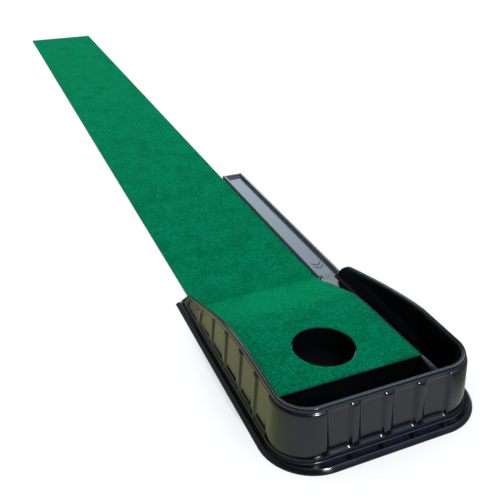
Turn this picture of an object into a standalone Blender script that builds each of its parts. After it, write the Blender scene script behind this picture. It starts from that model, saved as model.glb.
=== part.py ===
"""Practice putting mat with a ramped hole, a walled base and a ball-return track.

Run with: blender --background --python part.py
Design sizes below are in millimetres, with x = 0 on the mat's left edge, y = 0 at the foot of the
ramp (+y towards the golfer) and z = 0 on the floor. point() turns them into the part's own frame:
metres, with the origin under the middle of the whole object's box.
"""

import math

import bmesh
import bpy

# ---- driving dimensions, mm ----
GAP = 0.3                      # clearance kept between pieces that rest on each other

MAT_WIDTH = 300.0
MAT_FAR = 2703.0               # y of the mat's far end
MAT_REAR = -397.0              # y of the mat's rear edge, on the deck
BACKING_THICK = 1.8
PILE_THICK = 2.6
HOLE_X, HOLE_Y = 152.0, -302.0
MAT_HOLE_R = 59.5

FLANGE_LEFT, FLANGE_RIGHT, FLANGE_BACK = -38.0, 384.0, -521.0
FLANGE_CORNER = 97.0           # plan radius of the outer lip's corners
RIM_LEFT, RIM_RIGHT, RIM_BACK = -10.0, 359.0, -484.0
RIM_CORNER = 59.0              # plan radius of the rim's outer edge at the corners
RIM_HEIGHT = 112.0
RIM_LEVEL_UNTIL = -320.0       # y where the level rim starts to fall towards the front
RIM_FALL = 9.18e-4             # mm of fall per mm squared from there, on the left
RIM_STRAIGHT_FROM = -121.0     # y from where the left rim falls evenly
RIM_STRAIGHT_FALL = 0.365
RIGHT_RIM_FALL, RIGHT_RIM_POWER = 0.0402, 1.3
NOSE_START, NOSE_LENGTH = -55.0, 48.0  # where the right rim rounds down to the spout
FRONT_FADE = 0.1               # how much lower the wall is at its left front end
LEFT_FRONT, RIGHT_FRONT = 36.0, -4.0
FLANGE_HEIGHT = 13.0
SHEET = 2.4                    # thickness of the formed sheet

PANEL_RECESS = 3.2
PANEL_CHAMFER = 3.0            # length over which a panel steps in
RIB_WIDTH = 20.0
SIDE_RIBS = (-358.0, -289.0, -217.0, -144.0, -71.0, 7.0)   # y of the middle of each side rib
BACK_PANELS = 4
CORNER_REACH = 11.0            # how far a corner's raised face runs on past its curve

POCKET_RIGHT = 304.3           # the pocket that holds the deck: its right and rear sides
POCKET_REAR = -399.3
APRON_FRONT = 38.0
GUTTER_LEFT_Z, GUTTER_CORNER_Z, GUTTER_SPOUT_Z = 28.0, 16.0, 4.0
TONGUE = (316.0, 346.0, -8.0, 14.0, 2.0, 3.8)

DECK_PATH = [(-16.0, 4.9), (-155.0, 54.0), (-210.0, 60.8), (-399.0, 70.2)]
DECK_ROUNDING = [0.0, 150.0, 300.0, 0.0]
DECK_LEFT, DECK_RIGHT = 0.2, 304.0
DECK_SHEET = 2.2
DECK_FOOT = SHEET + GAP
DECK_HOLE_R = 59.0
RAIL_WIDTH, RAIL_HEIGHT = 2.7, 6.4
CHUTE_SLOPE = 0.03
CHUTE_LIP_Z = 15.0             # top of the chute's floor where it hands the ball to the gutter
CHUTE_HALF = 24.0
CHUTE_WALL = 24.0              # height of the chute's side walls above its floor
CHUTE_SHEET = 1.6
CHUTE_START = 213.0
WINDOW_TOP = 62.5
CUP_OUTER, CUP_INNER = 61.0, 59.0
CUP_FLOOR_THICK = 2.0

STRIP_THICK = 0.8
STRIP_X = (25.0, 275.0)
REAR_STRIP_Y = (-392.0, -367.0)
RAMP_STRIP_Y = (-95.0, -70.0)
MAT_LIFT = 2 * STRIP_THICK + 3 * GAP   # the strips hold the mat this far off the deck

TRACK_LEFT, TRACK_RIGHT = 304.5, 363.6
TRACK_NEAR, TRACK_FAR = 1.0, 627.0
TRACK_SHEET = 1.6
TRACK_HEIGHT = 11.0

ORIGIN_X = (FLANGE_LEFT + FLANGE_RIGHT) / 2
ORIGIN_Y = (FLANGE_BACK + MAT_FAR) / 2


def point(x, y, z):
    """Design millimetres to the part's frame in metres."""
    return ((x - ORIGIN_X) / 1000, (y - ORIGIN_Y) / 1000, z / 1000)


# ---- helpers ----

def clear_scene():
    for obj in list(bpy.data.objects):
        bpy.data.objects.remove(obj, do_unlink=True)


def material(name, colour, roughness, metallic=0.0):
    made = bpy.data.materials.new(name)
    made.use_nodes = True
    shader = made.node_tree.nodes["Principled BSDF"]
    shader.inputs["Base Color"].default_value = (*colour, 1)
    shader.inputs["Roughness"].default_value = roughness
    shader.inputs["Metallic"].default_value = metallic
    return made


def solid(name, points, faces, finish=None):
    """An object from design points in mm, with its faces turned outwards."""
    mesh = bpy.data.meshes.new(name)
    mesh.from_pydata([point(*p) for p in points], [], faces)
    bm = bmesh.new()
    bm.from_mesh(mesh)
    bmesh.ops.recalc_face_normals(bm, faces=bm.faces)
    bm.to_mesh(mesh)
    bm.free()
    obj = bpy.data.objects.new(name, mesh)
    bpy.context.scene.collection.objects.link(obj)
    if finish:
        mesh.materials.append(finish)
    return obj


def loft(name, rings, finish=None):
    """A closed solid through rings of the same number of points, with flat ends."""
    size = len(rings[0])
    points = [p for ring in rings for p in ring]
    faces = [list(range(size)), list(range(len(points) - size, len(points)))]
    for ring in range(len(rings) - 1):
        for k in range(size):
            a = ring * size + k
            b = ring * size + (k + 1) % size
            faces.append([a, b, b + size, a + size])
    return solid(name, points, faces, finish)


def prism(name, outline, low, high, axis="x", finish=None):
    """An outline extruded along an axis. Along x the outline is (y, z), and along z it is (x, y)."""
    if axis == "x":
        rings = [[(x, a, b) for a, b in outline] for x in (low, high)]
    else:
        rings = [[(a, b, z) for a, b in outline] for z in (low, high)]
    return loft(name, rings, finish)


def block(name, x0, x1, y0, y1, z0, z1):
    return prism(name, [(x0, y0), (x1, y0), (x1, y1), (x0, y1)], z0, z1, axis="z")


def cylinder(name, radius, z0, z1, sides=64):
    """A cylinder round the hole. z0 and z1 are heights, or functions of x and y."""
    low = z0 if callable(z0) else (lambda x, y: z0)
    high = z1 if callable(z1) else (lambda x, y: z1)
    turns = [2 * math.pi * k / sides for k in range(sides)]
    circle = [(HOLE_X + radius * math.cos(a), HOLE_Y + radius * math.sin(a)) for a in turns]
    return loft(name, [[(x, y, low(x, y)) for x, y in circle], [(x, y, high(x, y)) for x, y in circle]])


def combine(target, tools, operation):
    """Joins hidden tools to a target, or cuts them from it."""
    for tool in tools:
        modifier = target.modifiers.new(f"{operation.lower()} {tool.name}", "BOOLEAN")
        modifier.operation = operation
        modifier.solver = "EXACT"
        modifier.object = tool
        tool.hide_render = True
        tool.display_type = "WIRE"


def rounded(corners, radii, turn_step=math.radians(5)):
    """A path of straight runs through the corners, each corner an arc of its radius."""
    path = [corners[0]]
    for before, corner, after, radius in zip(corners, corners[1:], corners[2:], radii[1:]):
        into = math.atan2(corner[1] - before[1], corner[0] - before[0])
        out = math.atan2(after[1] - corner[1], after[0] - corner[0])
        turn = (out - into + math.pi) % (2 * math.pi) - math.pi
        reach = radius * math.tan(abs(turn) / 2)
        start = (corner[0] - reach * math.cos(into), corner[1] - reach * math.sin(into))
        side = math.copysign(1, turn)
        centre = (start[0] - side * radius * math.sin(into), start[1] + side * radius * math.cos(into))
        steps = max(2, math.ceil(abs(turn) / turn_step))
        for k in range(steps + 1):
            heading = into + turn * k / steps
            path.append((centre[0] + side * radius * math.sin(heading),
                         centre[1] - side * radius * math.cos(heading)))
    path.append(corners[-1])
    return path


def offset(path, distance):
    """The path moved sideways by a distance, upwards for a path that runs towards -y."""
    moved = []
    for k in range(len(path)):
        before = path[max(k - 1, 0)]
        after = path[min(k + 1, len(path) - 1)]
        run, rise = after[0] - before[0], after[1] - before[1]
        length = math.hypot(run, rise)
        moved.append((path[k][0] + distance * rise / length, path[k][1] - distance * run / length))
    return moved


def height_on(path, y):
    """Height of a path of (y, z) that runs towards -y, at one y."""
    for (y1, z1), (y0, z0) in zip(path, path[1:]):
        if y0 <= y <= y1:
            return z0 + (z1 - z0) * (y - y0) / (y1 - y0)
    return path[-1][1] if y < path[-1][0] else path[0][1]


def layer(path, low, high):
    """The outline of a layer between two distances above a path."""
    return offset(path, low) + offset(path, high)[::-1]


# ---- the walled base ----

def left_rim_height(y):
    """Level at the back, then falling ever faster, then a straight fall from where it is steepest."""
    curve = min(y, RIM_STRAIGHT_FROM) - RIM_LEVEL_UNTIL
    straight = max(0, y - RIM_STRAIGHT_FROM)
    return RIM_HEIGHT - RIM_FALL * max(0, curve) ** 2 - RIM_STRAIGHT_FALL * straight


def right_rim_height(y):
    """Falls forwards more evenly than on the left, and ends in a rounded nose at the spout."""
    height = RIM_HEIGHT - RIGHT_RIM_FALL * max(0, y - RIM_LEVEL_UNTIL) ** RIGHT_RIM_POWER
    share = min(1, max(0, y - NOSE_START) / NOSE_LENGTH)
    return max(height * math.sqrt(1 - share ** 2), FLANGE_HEIGHT + 2)


def side_panels(start):
    """Starts and ends of the recessed panels along a side, between the back corner and the ribs."""
    edges = [start] + [edge for rib in SIDE_RIBS for edge in (rib - RIB_WIDTH / 2, rib + RIB_WIDTH / 2)]
    return list(zip(edges[::2], edges[1::2]))


def back_panels(start, end):
    width = (end - start - RIB_WIDTH * (BACK_PANELS - 1)) / BACK_PANELS
    pitch = width + RIB_WIDTH
    return [(start + k * pitch, start + k * pitch + width) for k in range(BACK_PANELS)]


def panel_stops(panels):
    """Places along a wall with the recess there: stepping in and out at each panel's ends."""
    stops = []
    for low, high in panels:
        stops += [(low, 0), (low + PANEL_CHAMFER, PANEL_RECESS)]
        stops += [(high - PANEL_CHAMFER, PANEL_RECESS), (high, 0)]
    return stops


def wall_stations():
    """Stations round the wall, from the left front, round the back, to the right front.

    Each is the rim's outer point, the lip's outer point, the outward normal, the rim height,
    the height factor of the flange and the depth of the panel's recess.
    """
    curve_y = RIM_BACK + RIM_CORNER
    lip_y = FLANGE_BACK + FLANGE_CORNER
    stations = []

    def along_side(x_rim, x_lip, normal, rim_height, stops):
        for y, recess in stops:
            fade = 1 - FRONT_FADE * max(0, y) / LEFT_FRONT
            stations.append(((x_rim, y), (x_lip, y), normal, rim_height(y), fade, recess))

    def round_corner(rim_x, lip_x, start):
        for k in range(9):
            turn = math.radians(start + 90 * k / 8)
            c, s = math.cos(turn), math.sin(turn)
            rim = (rim_x + RIM_CORNER * c, curve_y + RIM_CORNER * s)
            lip = (lip_x + FLANGE_CORNER * c, lip_y + FLANGE_CORNER * s)
            stations.append((rim, lip, (c, s), RIM_HEIGHT, 1, 0))

    panels = side_panels(curve_y + CORNER_REACH)
    along_side(RIM_LEFT, FLANGE_LEFT, (-1, 0), left_rim_height, [(LEFT_FRONT, 0), (20, 0)]
               + panel_stops(panels)[::-1])
    round_corner(RIM_LEFT + RIM_CORNER, FLANGE_LEFT + FLANGE_CORNER, 180)
    rim_x0, rim_x1 = RIM_LEFT + RIM_CORNER, RIM_RIGHT - RIM_CORNER
    lip_x0, lip_x1 = FLANGE_LEFT + FLANGE_CORNER, FLANGE_RIGHT - FLANGE_CORNER
    for x, recess in panel_stops(back_panels(rim_x0 + CORNER_REACH, rim_x1 - CORNER_REACH)):
        lip_x = lip_x0 + (lip_x1 - lip_x0) * (x - rim_x0) / (rim_x1 - rim_x0)
        stations.append(((x, RIM_BACK), (lip_x, FLANGE_BACK), (0, -1), RIM_HEIGHT, 1, recess))
    round_corner(RIM_RIGHT - RIM_CORNER, FLANGE_RIGHT - FLANGE_CORNER, 270)
    nose = [(y, 0) for y in (-55, -42, -32, -24, -17, -11, RIGHT_FRONT)]
    along_side(RIM_RIGHT, FLANGE_RIGHT, (1, 0), right_rim_height, panel_stops(panels[:-1]) + nose)
    return stations


def wall_section(station):
    """The closed outline of the wall at a station: lip, flange, foot, panel, rim, inner face and hollow.

    Each corner is (share of the way from rim to lip, mm outwards, height, part of the wall).
    """
    rim, lip, normal, height, fade, recess = station
    rise = (height - FLANGE_HEIGHT - 1) / (RIM_HEIGHT - FLANGE_HEIGHT - 1)
    corners = [
        (1, 0, 0, "flange"), (1, -1.2, 9.5, "flange"), (1, -3.6, FLANGE_HEIGHT, "flange"),
        (1, -7, 12.2, "flange"), (0.52, 0, 10.4, "flange"), (0.42, 0, 12.4, "flange"),
        (0.36, 0, 16, "wall"), (0.34, -recess, 19.5, "wall"), (0.08, -recess, RIM_HEIGHT - 13, "wall"),
        (0.05, 0, RIM_HEIGHT - 9, "wall"), (0, 0, RIM_HEIGHT - 5, "wall"), (0, -1.2, RIM_HEIGHT - 1, "wall"),
        (0, -3.5, RIM_HEIGHT, "wall"), (0, -6.8, RIM_HEIGHT - 0.6, "wall"), (0, -8.5, RIM_HEIGHT - 3, "wall"),
        (0, -9.6, 0.4, "foot"), (0, -9.6 + SHEET, 0.4, "foot"),
        (0, -6.5, 82, "hollow"), (0.14, -5.8, 80, "hollow"), (0.38, -5.2, 8.6, "flange"),
        (1, -6.4, 9.0, "flange"), (1, -SHEET, 0, "flange"),
    ]
    base = {"wall": FLANGE_HEIGHT + 1, "hollow": 8.0}
    outline = []
    for share, out, z, where in corners:
        if where in base:
            z = base[where] + (z - base[where]) * rise
        if where != "foot":
            z *= fade
        x = rim[0] + (lip[0] - rim[0]) * share + normal[0] * out
        y = rim[1] + (lip[1] - rim[1]) * share + normal[1] * out
        outline.append((x, y, z))
    return outline


def gutter_floor():
    """The sheet that both gutters run on: it falls to the right, then along the side to the spout."""
    inset = 9.6 - SHEET / 2
    left, right, back = RIM_LEFT + inset, RIM_RIGHT - inset, RIM_BACK + inset
    radius = RIM_CORNER - inset
    inner_x = POCKET_RIGHT + SHEET / 2
    inner_y = POCKET_REAR - SHEET / 2

    def rear_z(x):
        return GUTTER_CORNER_Z + (GUTTER_LEFT_Z - GUTTER_CORNER_Z) * max(0, inner_x - x) / inner_x

    def back_y(x):
        run = max(left + radius - x, x - (right - radius), 0)
        return back + radius - math.sqrt(max(radius ** 2 - run ** 2, 0))

    curve = [radius * (1 - math.cos(math.radians(a))) for a in (0, 20, 35, 50, 70, 90)]
    across = [left + c for c in curve] + [right - c for c in curve[::-1]]
    rear = []
    for x in sorted(across + [inner_x]):
        z = rear_z(x)
        rear.append([(x, back_y(x), z), (x, inner_y, z), (x, inner_y, z - SHEET), (x, back_y(x), z - SHEET)])
    side = []
    for y, z in ((inner_y - 3, GUTTER_CORNER_Z), (inner_y, GUTTER_CORNER_Z), (RIGHT_FRONT, GUTTER_SPOUT_Z)):
        side.append([(inner_x, y, z), (right, y, z), (right, y, z - SHEET), (inner_x, y, z - SHEET)])
    return loft("rear_gutter_floor", rear), loft("side_gutter_floor", side)


def base_tray(finish):
    """The base: one formed sheet with a ribbed double wall, two gutters and the pocket for the deck."""
    tray = loft("base_tray", [wall_section(station) for station in wall_stations()], finish)
    rear_floor, side_floor = gutter_floor()
    left = RIM_LEFT + 9.6 - SHEET / 2
    pocket = block("pocket_floor", left, POCKET_RIGHT + SHEET / 2, POCKET_REAR - SHEET / 2, APRON_FRONT, 0, SHEET)
    riser_z = [(left, GUTTER_LEFT_Z - 0.5), (POCKET_RIGHT + SHEET, GUTTER_CORNER_Z - 0.5)]
    rear_riser = loft("rear_riser", [
        [(x, POCKET_REAR, 0), (x, POCKET_REAR - SHEET, 0), (x, POCKET_REAR - SHEET, z), (x, POCKET_REAR, z)]
        for x, z in riser_z])
    side_riser = loft("side_riser", [
        [(POCKET_RIGHT, y, 0), (POCKET_RIGHT + SHEET, y, 0), (POCKET_RIGHT + SHEET, y, z), (POCKET_RIGHT, y, z)]
        for y, z in ((POCKET_REAR - SHEET, GUTTER_CORNER_Z - 0.5), (RIGHT_FRONT, GUTTER_SPOUT_Z - 0.5))])
    tongue = block("spout_tongue", *TONGUE)
    combine(tray, [pocket, rear_floor, side_floor, rear_riser, side_riser, tongue], "UNION")
    return tray


# ---- the deck, the cup and the chute ----

def deck_path():
    return rounded(DECK_PATH, DECK_ROUNDING)


def ramp_deck(finish):
    """The ramp and level top that carry the mat, hollow below, with a rail along the gutter."""
    top = deck_path()
    front, rear = top[0][0], top[-1][0]
    deck = prism("ramp_deck", top + [(rear, DECK_FOOT), (front, DECK_FOOT)], DECK_LEFT, DECK_RIGHT, finish=finish)
    rail_top = offset(top, RAIL_HEIGHT)
    rail_top[0] = (front, top[0][1] + 1)
    rail_top[-1] = (rear, rail_top[-1][1])
    rail = prism("deck_rail", rail_top + offset(top, -1)[::-1], DECK_RIGHT - RAIL_WIDTH, DECK_RIGHT)
    under = offset(top, -DECK_SHEET)
    hollow_front = front - 22
    arch = [p for p in under if rear + DECK_SHEET < p[0] < hollow_front]
    arch = [(hollow_front, height_on(under, hollow_front))] + arch
    arch.append((rear + DECK_SHEET, height_on(under, rear + DECK_SHEET)))
    hollow = prism("deck_hollow", arch + [(rear + DECK_SHEET, -1), (hollow_front, -1)],
                   DECK_LEFT + DECK_SHEET, DECK_RIGHT - DECK_SHEET)
    hole = cylinder("deck_hole", DECK_HOLE_R, 40, 90)
    window = block("chute_window", DECK_RIGHT - 6, DECK_RIGHT + 4,
                   HOLE_Y - CHUTE_HALF - 0.5, HOLE_Y + CHUTE_HALF + 0.5, 1, WINDOW_TOP)
    combine(deck, [rail, tie_bar(rear, top[-1][1])], "UNION")
    combine(deck, [hollow, hole, window], "DIFFERENCE")
    return deck


def tie_bar(rear, deck_z):
    """The bar that carries the rail on to the back wall, high enough for a ball to roll beneath it."""
    wall_y = RIM_BACK + 9.6 + 3 * GAP
    low = deck_z - DECK_SHEET + 1
    stops = [(rear + 1.5, 298.0, 303.9, 6.0), (rear - 12, 297.5, 304.4, 6.4),
             (rear - 45, 295.0, 305.5, 9.0), (wall_y, 290.0, 308.0, 15.0)]
    rings = []
    for y, x0, x1, rise in stops:
        rings.append([(x0, y, low), (x1, y, low), (x1, y, low + rise - 2), (x1 - 2, y, low + rise),
                      (x0 + 2, y, low + rise), (x0, y, low + rise - 2)])
    return loft("tie_bar", rings)


def chute_floor(x):
    return CHUTE_LIP_Z + CHUTE_SLOPE * (DECK_RIGHT - x)


def cup_well(finish):
    """The round cup under the hole: its floor tips the ball out through a slot towards the gutter."""
    under = offset(deck_path(), -DECK_SHEET)
    cup = cylinder("cup_well", CUP_OUTER, DECK_FOOT, lambda x, y: height_on(under, y) - 2 * GAP)
    cup.data.materials.append(finish)
    bowl = cylinder("cup_bowl", CUP_INNER, lambda x, y: chute_floor(x), 90)
    below = cylinder("cup_below", CUP_INNER, -1, lambda x, y: chute_floor(x) - CUP_FLOOR_THICK)
    slot_z = chute_floor(HOLE_X + CUP_INNER)
    slot = block("cup_slot", HOLE_X + 40, HOLE_X + CUP_OUTER + 3,
                 HOLE_Y - CHUTE_HALF + CHUTE_SHEET, HOLE_Y + CHUTE_HALF - CHUTE_SHEET, slot_z - 0.05, 90)
    combine(cup, [bowl, below, slot], "DIFFERENCE")
    return cup


def return_chute(finish):
    """The short trough from the cup's slot to the side gutter, standing on its own side walls."""
    inner = CHUTE_HALF - CHUTE_SHEET
    rings = []
    for x in (CHUTE_START, DECK_RIGHT):
        floor = chute_floor(x)
        top, under = floor + CHUTE_WALL, floor - CHUTE_SHEET
        half = [(CHUTE_HALF, DECK_FOOT), (CHUTE_HALF, top), (inner, top), (inner, floor)]
        below = [(inner, under), (inner, DECK_FOOT)]
        section = half + [(-y, z) for y, z in half[::-1] + below[::-1]] + below
        rings.append([(x, HOLE_Y + y, z) for y, z in section])
    return loft("return_chute", rings, finish)


# ---- the mat and its strips ----

def mat_path():
    """The underside of the mat: flat on the floor, over the apron's edge, and up over the deck."""
    on_deck = offset(deck_path(), MAT_LIFT)
    climb = [p for p in on_deck[1:] if p[0] > MAT_REAR]
    (y1, z1), (y0, z0) = on_deck[0], on_deck[1]
    apron_z = SHEET + GAP
    foot = (y1 - (z1 - apron_z) * (y0 - y1) / (z0 - z1), apron_z)
    front = rounded([(MAT_FAR, 0), (96, 0), (42, apron_z), foot, climb[0]], [0, 300, 300, 60, 0])
    return front + climb[1:] + [(MAT_REAR, height_on(on_deck, MAT_REAR))]


def mat_layer(name, low, high, finish):
    sheet = prism(name, layer(mat_path(), low, high), 0, MAT_WIDTH, finish=finish)
    hole = cylinder(f"{name}_hole", MAT_HOLE_R, 40, 110)
    combine(sheet, [hole], "DIFFERENCE")
    return sheet


def strip(name, ends, low, finish):
    """A strip of hook or loop tape across the deck, lying along its slope."""
    top = deck_path()
    near, far = max(ends), min(ends)
    path = [(near, height_on(top, near)), (far, height_on(top, far))]
    return prism(name, layer(path, low, low + STRIP_THICK), *STRIP_X, finish=finish)


# ---- the return track ----

def return_track(finish):
    """A long shallow trough with a turned-up far end, which carries the ball back to the golfer."""
    left, right, height, sheet = TRACK_LEFT, TRACK_RIGHT, TRACK_HEIGHT, TRACK_SHEET

    def section(y, end_rise):
        """Across the trough: lips, sloping sides and a flat floor, as outer then inner face."""
        top = [(left, height - 1.8), (left, height), (left + 4, height), (left + 8, 2.4 + end_rise),
               (left + 10.5, sheet + end_rise), (right - 10.5, sheet + end_rise), (right - 8, 2.4 + end_rise),
               (right - 4, height), (right, height), (right, height - 1.8)]
        below = [(right - 3.2, height - 1.8), (right - 6.6, end_rise + 0.8), (right - 9, end_rise),
                 (left + 9, end_rise), (left + 6.6, end_rise + 0.8), (left + 3.2, height - 1.8)]
        return [(x, y, z) for x, z in top + below]

    rings = [section(TRACK_NEAR, 0), section(TRACK_FAR - 12, 0), section(TRACK_FAR - 4, 7.6), section(TRACK_FAR, 7.6)]
    return loft("return_track", rings, finish)


def main():
    clear_scene()
    black = material("gloss_black_sheet", (0.012, 0.013, 0.016), 0.14)
    inner_black = material("black_liner", (0.01, 0.01, 0.012), 0.35)
    grey = material("gloss_track_sheet", (0.02, 0.022, 0.026), 0.12)
    green = material("green_turf", (0.003, 0.21, 0.10), 0.9)
    rubber = material("backing_rubber", (0.02, 0.02, 0.02), 0.85)
    hook = material("hook_tape", (0.03, 0.03, 0.03), 0.8)
    base_tray(black)
    ramp_deck(black)
    cup_well(inner_black)
    return_chute(inner_black)
    mat_layer("mat_backing", 0, BACKING_THICK, rubber)
    mat_layer("mat_turf", BACKING_THICK + GAP, BACKING_THICK + GAP + PILE_THICK, green)
    for place, ends in (("rear", REAR_STRIP_Y), ("ramp", RAMP_STRIP_Y)):
        strip(f"{place}_hook_strip", ends, GAP, hook)
        strip(f"{place}_loop_strip", ends, 2 * GAP + STRIP_THICK, hook)
    return_track(grey)


main()
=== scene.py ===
# %% [markdown]
# # A putting mat with a walled base, a hole and a ball-return track
# The mat is a strip of green needle-punched turf, 0.3 m wide and 3.1 m long. Its far end lies on the
# floor, and its near end climbs a ramp inside a black base formed from one plastic sheet. The model in
# model.glb gives every size and place, and this script adds the surfaces that the eye sees.

# %% [markdown]
# ## The frame
# The frame is the model in model.glb: one mesh for each solid part, and one body for each part that moves.
# Its box is measured before anything is added.

import bmesh
import bpy
import numpy as np
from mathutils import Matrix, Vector


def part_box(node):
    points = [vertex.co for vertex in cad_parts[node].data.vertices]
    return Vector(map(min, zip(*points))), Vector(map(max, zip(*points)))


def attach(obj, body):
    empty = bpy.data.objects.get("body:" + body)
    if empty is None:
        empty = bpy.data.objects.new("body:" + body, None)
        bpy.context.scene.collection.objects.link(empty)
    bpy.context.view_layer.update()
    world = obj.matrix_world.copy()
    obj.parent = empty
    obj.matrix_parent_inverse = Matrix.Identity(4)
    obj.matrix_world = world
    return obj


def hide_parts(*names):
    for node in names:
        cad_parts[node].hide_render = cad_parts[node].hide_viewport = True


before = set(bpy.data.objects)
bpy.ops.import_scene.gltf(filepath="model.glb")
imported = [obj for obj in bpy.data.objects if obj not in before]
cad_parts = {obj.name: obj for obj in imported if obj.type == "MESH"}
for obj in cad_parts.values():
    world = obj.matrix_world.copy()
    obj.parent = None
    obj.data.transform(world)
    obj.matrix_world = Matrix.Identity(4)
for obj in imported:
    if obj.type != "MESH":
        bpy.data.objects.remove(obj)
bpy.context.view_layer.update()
print("nodes:", sorted(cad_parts))

# %% [markdown]
# ## One set of axes for the whole design
# Millimetres are easier to think in than metres. x runs across the mat from its left edge, y along
# it from the foot of the ramp towards the golfer, and z up from the floor. The frame's own boxes say
# where that corner is, so nothing is fitted by eye.

# %% Design axes
MM = 0.001
DECK_FRONT_Y, DECK_REAR_Y = -16.0, -399.0   # the deck's front and rear edges in design millimetres
DECK_RIGHT = 304.0             # the tie bar reaches further right than the deck itself does
ORIGIN = np.array([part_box("mat_turf")[0].x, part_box("ramp_deck")[1].y - DECK_FRONT_Y * MM, 0.0])


def to_frame(points):
    """Design millimetres to the frame's metres: scale by a thousandth, then add the origin."""
    return np.asarray(points, float) * MM + ORIGIN


def design_box(*names):
    """Lowest and highest corner of some nodes, in design millimetres."""
    boxes = [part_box(name) for name in names]
    low = np.min([np.array(b[0]) for b in boxes], axis=0)
    high = np.max([np.array(b[1]) for b in boxes], axis=0)
    return (low - ORIGIN) / MM, (high - ORIGIN) / MM


tray_low, tray_high = design_box("base_tray")
deck_left = design_box("ramp_deck")[0][0]
track_low, track_high = design_box("return_track")
mat_low, mat_high = design_box("mat_turf", "mat_backing")
print("tray", tray_low.round(1), tray_high.round(1))
print("mat", mat_low.round(1), mat_high.round(1), "track", track_low.round(1), track_high.round(1))

# %% [markdown]
# ## The camera
# The camera stands behind the left rear corner of the base, a little under a metre high, and looks
# along the mat. Its lens is slightly long, so that the walls of the base stay upright and square.

# %% Camera
camera_data = bpy.data.cameras.new("camera")
camera = bpy.data.objects.new("camera", camera_data)
bpy.context.scene.collection.objects.link(camera)
camera_data.lens = 48.7
camera_data.sensor_width = 36.0
camera_data.clip_end = 100.0
camera.location = to_frame([-364.2, -1171.6, 862.8])
looking = Vector((0.3357, 0.7961, -0.5034))
camera.rotation_euler = looking.to_track_quat("-Z", "Y").to_euler()
bpy.context.scene.camera = camera
bpy.context.scene.view_settings.view_transform = "Standard"
print("camera at", [round(v, 3) for v in camera.location])


# %% [markdown]
# ## Colours and shader nodes
# Colours are written as sRGB hex, as a paint card gives them, and one function makes them linear.
# Another adds a single shader node with its settings and links, so a material reads as a short list.

# %% Colours and nodes
def colour(code):
    """An sRGB hex colour as linear RGBA: undo the sRGB curve on each channel."""
    rgb = np.array([int(code[i:i + 2], 16) for i in (1, 3, 5)]) / 255
    linear = np.where(rgb <= 0.04045, rgb / 12.92, ((rgb + 0.055) / 1.055) ** 2.4)
    return (*linear.tolist(), 1.0)


def add(tree, kind, inputs=None, stops=(), **settings):
    """Adds one node. A value in inputs is set on its socket, and a socket in inputs is linked to it.
    stops are the (place, hex colour) pairs of a colour ramp."""
    node = tree.nodes.new(kind)
    for _ in stops[2:]:
        node.color_ramp.elements.new(0.5)
    for element, (place, code) in zip(node.color_ramp.elements if stops else (), stops):
        element.position, element.color = place, colour(code)
    for name, value in settings.items():
        setattr(node, name, value)
    for name, value in (inputs or {}).items():
        if isinstance(value, bpy.types.NodeSocket):
            tree.links.new(value, node.inputs[name])
        else:
            node.inputs[name].default_value = value
    return node


def finish_for(name):
    """A new material: its node tree, its Principled shader and the piece's own coordinates in metres."""
    made = bpy.data.materials.new(name)
    made.use_nodes = True
    tree = made.node_tree
    place = add(tree, "ShaderNodeTexCoord").outputs["Object"]
    return made, tree, tree.nodes["Principled BSDF"], place


print("mid grey #808080 is", round(colour("#808080")[0], 3), "in linear light")


# %% [markdown]
# ## The studio
# A pale floor, a plain sky and one soft sun from behind the camera light the mat evenly. Glossy black
# plastic shows what it mirrors and little else, so mirrors see a darker sky with two soft windows, one
# low ahead and one overhead, and a dim card in place of the bright floor.

# %% Floor and card
def quad_on_floor(name, x0, x1, y0, y1, z, code, strength=0.0):
    """A flat rectangle for the stage, painted or glowing in one plain colour."""
    mesh = bpy.data.meshes.new(name)
    corners = to_frame([(x0, y0, z), (x1, y0, z), (x1, y1, z), (x0, y1, z)])
    mesh.from_pydata(corners.tolist(), [], [(0, 1, 2, 3)])
    made, _, shader, _ = finish_for(name)
    shader.inputs["Base Color"].default_value = colour(code)
    shader.inputs["Roughness"].default_value = 0.9
    shader.inputs["Specular IOR Level"].default_value = 0.0
    shader.inputs["Emission Color"].default_value = colour(code)
    shader.inputs["Emission Strength"].default_value = strength
    mesh.materials.append(made)
    obj = bpy.data.objects.new(name, mesh)
    bpy.context.scene.collection.objects.link(obj)
    return obj


floor = quad_on_floor("studio_floor", -30000, 30000, -30000, 30000, -0.2, "#f6f6f6")
floor.visible_glossy = False
# The plastic reflects a dimmer card in place of the bright floor: olive beside the base, cool behind it.
card = quad_on_floor("reflection_card", -30000, 30000, -30000, 30000, -4.0, "#000000", strength=1.0)
card.visible_camera = card.visible_diffuse = card.visible_shadow = card.visible_transmission = False
card_tree = card.data.materials[0].node_tree
card_coordinates = card_tree.nodes["Texture Coordinate"].outputs["Object"]
card_place = add(card_tree, "ShaderNodeSeparateXYZ", {"Vector": card_coordinates})
rear_edge = float(to_frame(tray_low)[1])
card_side = add(card_tree, "ShaderNodeMapRange", {"Value": card_place.outputs["Y"], "From Min": rear_edge - 0.02,
                                                  "From Max": rear_edge + 0.12})
card_rgb = add(card_tree, "ShaderNodeValToRGB", {"Fac": card_side.outputs["Result"]},
               stops=[(0.0, "#d8dde9"), (1.0, "#d0d6a2")]).outputs["Color"]
right_edge = float(to_frame(tray_high)[0])
card_right = add(card_tree, "ShaderNodeMapRange", {"Value": card_place.outputs["X"], "From Min": right_edge - 0.02,
                                                   "From Max": right_edge + 0.06})
card_dim = add(card_tree, "ShaderNodeValToRGB", {"Fac": card_right.outputs["Result"]},
               stops=[(0.0, "#ffffff"), (1.0, "#9d9d9d")]).outputs["Color"]
card_both = add(card_tree, "ShaderNodeMix", {"Factor": 1.0, "A": card_rgb, "B": card_dim}, data_type="RGBA",
                blend_type="MULTIPLY")
card_tree.links.new(card_both.outputs["Result"], card_tree.nodes["Principled BSDF"].inputs["Emission Color"])

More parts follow.
